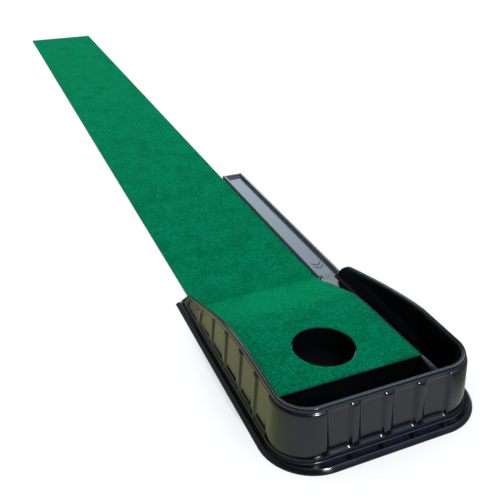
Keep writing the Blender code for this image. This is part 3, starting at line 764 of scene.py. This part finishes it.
corners, cuts = wall_outline()
front = np.where(rim[:, 0] < 0, rim[:, 1] - LEFT_FRONT, rim[:, 1] - RIGHT_FRONT)
nose = np.sqrt(np.clip(1 - np.clip((front + 9) / 9, 0, 1) ** 2, 0.16, 1))
corners[:, :, 2] = np.where(corners[:, :, 2] > 0.5, 0.5 + (corners[:, :, 2] - 0.5) * nose[:, None], corners[:, :, 2])
wall_points, wall_faces = lofted(eased(corners, cuts))
build("walled_base", wall_points, wall_faces, gloss_black, "base", "gloss_black", ["base_tray"], 40)

# %% [markdown]
# ## The gutters and the pocket
# Inside the wall the same sheet forms two gutters. The rear one falls to the right and the side one
# falls forwards to the spout, so a ball rolls round to the track. Each floor is ruled between the
# wall's foot and the edge of the pocket that the deck stands in, with a fillet up the wall.

# %% Gutters
POCKET_RIGHT, POCKET_REAR = 304.3, -399.3
WALL_INNER, SHEET = 9.5, 2.2


def gutter_edges():
    """Two matching lines: the wall's inner foot, and the pocket's edge, from the left rear corner to
    the spout. The pocket's edge turns its corner on a 5 mm radius while the wall turns on its own."""
    r = RIM_RADIUS - WALL_INNER
    left, right, back = RIM_LEFT + WALL_INNER, RIM_RIGHT - WALL_INNER, RIM_BACK + WALL_INNER
    arc = np.radians(np.linspace(180, 270, 26))
    side_y = lines([back + r, -60, RIGHT_FRONT], [6.0, 3.0])
    back_x = lines([left + r, right - r], [6.0])
    start = np.stack([np.full(5, left), np.linspace(POCKET_REAR - SHEET - 12, back + r, 6)[:-1]], -1)
    first = np.stack([left + r + r * np.cos(arc), back + r + r * np.sin(arc)], -1)
    second = np.stack([right - r - r * np.cos(arc[::-1]), back + r + r * np.sin(arc[::-1])], -1)
    wall_foot = np.concatenate([start, first, np.stack([back_x, np.full_like(back_x, back)], -1), second,
                                np.stack([np.full_like(side_y, right), side_y], -1)])
    inner_x, inner_y = POCKET_RIGHT + SHEET, POCKET_REAR - SHEET
    lead = np.linspace(left, left + 26, 31)
    pocket_x = np.concatenate([lead, np.linspace(left + 26, inner_x - 7, len(back_x))])
    bend = np.radians(np.linspace(270, 360, 26))
    pocket = np.concatenate([
        np.stack([pocket_x, np.full_like(pocket_x, inner_y)], -1),
        np.stack([inner_x - 7 + 7 * np.cos(bend), inner_y + 7 + 7 * np.sin(bend)], -1),
        np.stack([np.full_like(side_y, inner_x), np.maximum(side_y, inner_y + 7)], -1)])
    return wall_foot, pocket


def gutter_floor_height(x, y):
    """28 mm at the left, 16 at the right rear corner and 4 at the spout, falling evenly between."""
    rear = 16 + 12 * np.clip((POCKET_RIGHT - x) / POCKET_RIGHT, 0, 1)
    side = 4 + 12 * np.clip((RIGHT_FRONT - y) / (RIGHT_FRONT - POCKET_REAR), 0, 1)
    return np.minimum(rear, np.where(y < POCKET_REAR, rear, side))


def gutter():
    """The gutter as a sheet: across it t runs from the wall (0) to the pocket's edge (1). The floor
    rises up the wall on a quarter circle of 7 mm, and rolls over the pocket's edge on one of 2 mm."""
    wall_foot, pocket = gutter_edges()
    across = np.linalg.norm(pocket - wall_foot, axis=1)[:, None]
    fillet = 1 - np.cos(np.radians(np.linspace(0, 90, 8)))
    inside = np.linspace(7, 1, 9)[1:-1]
    t = np.concatenate([np.tile(7 * fillet, (len(across), 1)),
                        7 + (across - 9) * (7 - inside) / 6,
                        across - 2 + 2 * np.sin(np.radians(np.linspace(0, 90, 6)))], axis=1) / across
    rise = np.concatenate([7 * (1 - np.sin(np.radians(np.linspace(0, 90, 8)))), np.zeros(7),
                           -2 * (1 - np.cos(np.radians(np.linspace(0, 90, 6))))])
    plan = wall_foot[:, None] + (pocket - wall_foot)[:, None] * t[:, :, None]
    z = gutter_floor_height(plan[:, :, 0], plan[:, :, 1]) + rise
    top = np.concatenate([plan, z[:, :, None]], -1)
    skirt = top[:, -1:].copy()
    skirt[:, :, 2] = 0.4
    top = np.concatenate([top, skirt], axis=1)
    bottom = top.copy()
    bottom[:, :, 2] -= SHEET
    away = (wall_foot - pocket) / across
    bottom[:, -2:, :2] += SHEET * 0.9 * away[:, None] * 0.9
    bottom[:, -1, 2] = 0.4
    return sheeted(top, bottom)


gutter_points, gutter_faces = gutter()
build("gutter_floors", gutter_points, gutter_faces, gloss_black, "base", "gloss_black")


# %% [markdown]
# ## The pocket floor and the spout
# The deck stands in a shallow pocket with a thin flat floor. At the front of the side gutter a small
# tongue laps over the track, and a sill closes the step below it, so that a ball rolls on without a
# drop. All three are flat sheets with rounded edges, so one function makes them.

# %% Pocket floor, spout tongue and sill
def slab(x0, x1, y0, y1, z0, z1, edge, columns=24, rows=30):
    """A flat sheet whose top edge is rounded: near the rim, at distance e, the top drops by
    edge * (1 - sqrt(1 - (1 - e / edge)^2))."""
    near = edge * np.array([0, 0.1, 0.3, 0.6, 1.0])
    x = np.concatenate([x0 + near, np.linspace(x0 + 2 * edge, x1 - 2 * edge, columns), x1 - near[::-1]])
    y = np.concatenate([y0 + near, np.linspace(y0 + 2 * edge, y1 - 2 * edge, rows), y1 - near[::-1]])
    x, y = np.meshgrid(x, y)
    e = np.minimum.reduce([x - x0, x1 - x, y - y0, y1 - y])
    drop = edge * (1 - np.sqrt(np.clip(1 - (1 - np.clip(e / edge, 0, 1)) ** 2, 0, 1)))
    top = np.stack([x, y, z1 - drop], -1)
    bottom = np.stack([x, y, np.full_like(x, z0)], -1)
    return sheeted(top, bottom)


pocket_points, pocket_faces = slab(RIM_LEFT + WALL_INNER, POCKET_RIGHT + SHEET, POCKET_REAR - 1, tray_high[1],
                                   0.0, 2.4, 1.0)
build("pocket_floor", pocket_points, pocket_faces, gloss_black, "base", "gloss_black")
tongue_points, tongue_faces = slab(316.0, 346.0, -12.0, 14.0, 2.0, 3.9, 0.8, 16, 14)
build("spout_tongue", tongue_points, tongue_faces, gloss_black, "base", "gloss_black")
sill_points, sill_faces = slab(306.8, 357.0, RIGHT_FRONT - 1.0, 0.6, 0.6, 3.6, 0.5, 24, 6)
build("spout_sill", sill_points, sill_faces, gloss_black, "base", "gloss_black")

# %% [markdown]
# ## The deck, its rail and the tie bar
# The deck is an upturned tray that stands in the pocket. One grid makes its left side, its top, the
# thin rail along the gutter and its right side. The rail runs on to the back wall as a bar.

# %% Deck
DECK_HOLE, DECK_SHEET, DECK_FOOT = 59.0, 2.2, 2.7
RAIL_WIDTH, RAIL_HEIGHT = 2.7, 6.4
WINDOW_HALF = 24.5


def deck():
    """Across the deck the grid climbs the left side, turns on a 2 mm corner, crosses the top, climbs
    the rail, rolls over it and goes down the right side. Along it the lines follow the side view."""
    x0, x1 = deck_left, DECK_RIGHT
    rail_in = x1 - RAIL_WIDTH
    turn = np.radians(np.linspace(0, 90, 5))
    half = RAIL_WIDTH / 2
    flat = lines([x0 + 2.4, HOLE_X - DECK_HOLE, HOLE_X + DECK_HOLE, rail_in - 1.0], [10, 6, 10])
    across = np.concatenate([np.full(5, x0), x0 + 2 * (1 - np.cos(turn)), flat,
                             rail_in - 0.7 + 0.7 * np.sin(turn[1:]), [rail_in],
                             rail_in + half * (1 - np.cos(turn)), x1 - half * (1 - np.sin(turn[1:])),
                             np.full(5, x1)])
    count = len(flat)
    lift = np.concatenate([np.zeros(5), 2 * np.sin(turn) - 2, np.zeros(count), 0.7 * (1 - np.cos(turn[1:])), [3.0],
                           RAIL_HEIGHT - half + half * np.sin(turn), RAIL_HEIGHT - half + half * np.cos(turn[1:]),
                           np.zeros(5)])
    foot = np.concatenate([np.linspace(0, 0.9, 5), np.full(10 + count + 9, 1.0), np.linspace(0.9, 0, 5)])
    y = lines([DECK_REAR_Y, HOLE_Y - DECK_HOLE, HOLE_Y - WINDOW_HALF, HOLE_Y + WINDOW_HALF, HOLE_Y + DECK_HOLE,
               -180, -60, DECK_FRONT_Y], [6, 6, 6, 6, 6, 6, 5])
    x, y = np.meshgrid(across, y)
    bx, by, keep = round_the_hole(x, y, DECK_HOLE)
    on_top = (foot == 1.0)[None, :]
    bx, by = np.where(on_top, bx, x), np.where(on_top, by, y)
    z_top = height(deck_side, by)
    fade = smooth(DECK_FRONT_Y, DECK_FRONT_Y - 26, by) * 0.86 + 0.14
    z = np.where(on_top, z_top + lift * np.where(lift > 0, fade, 1), DECK_FOOT + (z_top - 2 - DECK_FOOT) * foot)
    inner_x = np.clip(bx, x0 + DECK_SHEET, x1 - DECK_SHEET)
    inner_z = np.minimum(z, z_top - DECK_SHEET)
    thin = inner_z < DECK_FOOT
    window = (np.abs((y[:-1, :-1] + y[1:, 1:]) / 2 - HOLE_Y) < WINDOW_HALF) & (across[None, :-1] >= x1 - 0.01)
    keep = keep | ~(on_top[:, :-1] & on_top[:, 1:])
    top = np.stack([bx, by, z], -1)
    bottom = np.stack([inner_x, by, np.where(thin, np.minimum(z - 0.3, DECK_FOOT), inner_z)], -1)
    return sheeted(top, bottom, keep & ~window)


deck_points, deck_faces = deck()
build("ramp_deck_shell", deck_points, deck_faces, gloss_black, "base", "gloss_black", ["ramp_deck"])


# %% [markdown]
# ## The deck's rear face and the tie bar
# Behind the deck an upright face closes the tray. The rail runs on past it to the back wall as a bar
# that widens where it joins, to spread the pull. A ball in the rear gutter rolls under the bar.

# %% Rear face and tie bar
def rear_face():
    """The deck's rear end: an upright sheet with its top edge rounded into the deck."""
    x0, x1 = deck_left, DECK_RIGHT
    turn = np.radians(np.linspace(0, 90, 6))
    top_z = height(deck_side, DECK_REAR_Y)
    top_corner = np.stack([2 * (1 - np.cos(turn)), top_z - 2.02 + 2 * np.sin(turn)], -1)
    outline = np.concatenate([[(0.0, DECK_FOOT)], top_corner,
                              [(4.4, top_z - 0.02), (4.4, top_z - DECK_SHEET), (DECK_SHEET, top_z - DECK_SHEET - 1),
                               (DECK_SHEET, DECK_FOOT)]])
    x = lines([x0 + 0.1, x1 - 0.1], [12])
    rings = np.stack([np.broadcast_to(x[:, None], (len(x), len(outline))),
                      np.broadcast_to(DECK_REAR_Y + 0.02 + outline[:, 0], (len(x), len(outline))),
                      np.broadcast_to(outline[:, 1], (len(x), len(outline)))], -1)
    return lofted(rings)


def tie_bar():
    """The bar from the rail to the back wall. It widens to 17 mm with the square root of the distance
    along it, and its top edges are quarter circles of 1.2 mm."""
    start, end = DECK_REAR_Y + 2.5, RIM_BACK + 10.4
    y = np.linspace(start, end, 34)
    t = ((start - y) / (start - end))[:, None] ** 0.5
    x0, x1 = 300.9 - 10.9 * t, 303.9 + 4.1 * t
    low = height(deck_side, DECK_REAR_Y) - 1.4
    high = np.full_like(t, low + 6.6)
    r = 1.2
    turn = np.radians(np.linspace(0, 90, 5))[None]
    bottom = np.full_like(t, low)
    x = np.concatenate([x0, x0 + r * (1 - np.cos(turn)), x1 - r * (1 - np.sin(turn)), x1], axis=1)
    z = np.concatenate([bottom, high - r + r * np.sin(turn), high - r + r * np.cos(turn), bottom], axis=1)
    return lofted(np.stack([x, np.broadcast_to(y[:, None], x.shape), z], -1))


build("deck_rear_face", *rear_face(), gloss_black, "base", "gloss_black")
build("rail_tie_bar", *tie_bar(), gloss_black, "base", "gloss_black")

# %% [markdown]
# ## The return track
# The track is a long shallow trough in the same kind of sheet, but charcoal. Its lips are flat, its
# sides slope to a level floor, its far end turns up to stop the ball, and two moulded chevrons show
# which way the ball runs.

# %% Track
TRACK_SHEET = 1.6


def chevrons(x, y):
    """Two raised arrow strokes near the end at the base. A stroke is where the distance from a
    V-shaped line, |y - y0 - |x - middle||, is under its half width."""
    middle = (track_low[0] + track_high[0]) / 2
    found = np.zeros_like(x)
    for y0 in (46.0, 60.0):
        off = np.abs((y - y0) - np.abs(x - middle) * 0.9)
        found = np.maximum(found, (1 - smooth(1.6, 3.0, off)) * (1 - smooth(10.5, 12.0, np.abs(x - middle))))
    return 0.9 * found


def track():
    """Across the track: a skirt towards the mat, lip, rounded shoulder, sloping side, fillet, floor, and
    the same side again without a skirt."""
    x0, x1, top_z = track_low[0], track_high[0], track_high[2]
    y = lines([track_low[1], 30, 84, track_high[1] - 26, track_high[1]], [4, 1.0, 9, 1.0])
    slope = [(0, top_z, 0), (6.0, top_z, 0), (8.8, 2.6, 0), (11.0, TRACK_SHEET, 0)]
    left = eased(np.array([[(-3.4, 3.0, 0), (-0.9, top_z - 1.6, 0)] + slope]), [0.2, 1.0, 1.0, 1.6, 1.6, 1.6])[0]
    right = eased(np.array([[(0, 9.4, 0)] + slope]), [0.2, 1.0, 1.6, 1.6, 1.6])[0, ::-1]
    floor_x = np.linspace(x0 + 13.2, x1 - 13.2, 48)
    x = np.concatenate([x0 + left[:, 0], floor_x, x1 - right[:, 0]])
    z = np.concatenate([left[:, 1], np.full(48, TRACK_SHEET), right[:, 1]])
    x, y = np.meshgrid(x, y)
    rise = (top_z - 2.6) * smooth(track_high[1] - 8, track_high[1] - 3, y)
    z = np.maximum(z, TRACK_SHEET + rise)
    z = np.where(z < TRACK_SHEET + 0.2, z + chevrons(x, y), z)
    end = np.clip((y - (track_high[1] - 1.5)) / 1.5, 0, 1)
    top = np.stack([x, y, z - 0.8 * end ** 2], -1)
    underside = np.maximum(z - TRACK_SHEET, np.where(x < x0 + 5, 2.8, 0.05))
    inner = np.stack([np.clip(x, x0 + 1.2, x1 - 1.2), y, underside], -1)
    return sheeted(top, inner)


build("return_track_shell", *track(), track_grey, "track", "track_grey", ["return_track"])

# %% [markdown]
# ## The pieces that keep their own shape
# The cup, the chute and the hook and loop strips are right as they are, so they only get a finish.

# %% Finish the kept nodes
kept = {"cup_well": liner_black, "return_chute": liner_black, "rear_hook_strip": hook_tape,
        "ramp_hook_strip": hook_tape, "rear_loop_strip": loop_tape, "ramp_loop_strip": loop_tape}
for node_name, finish in kept.items():
    node_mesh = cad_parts[node_name].data
    node_mesh.materials.clear()
    node_mesh.materials.append(finish)
print("kept nodes:", sorted(kept))
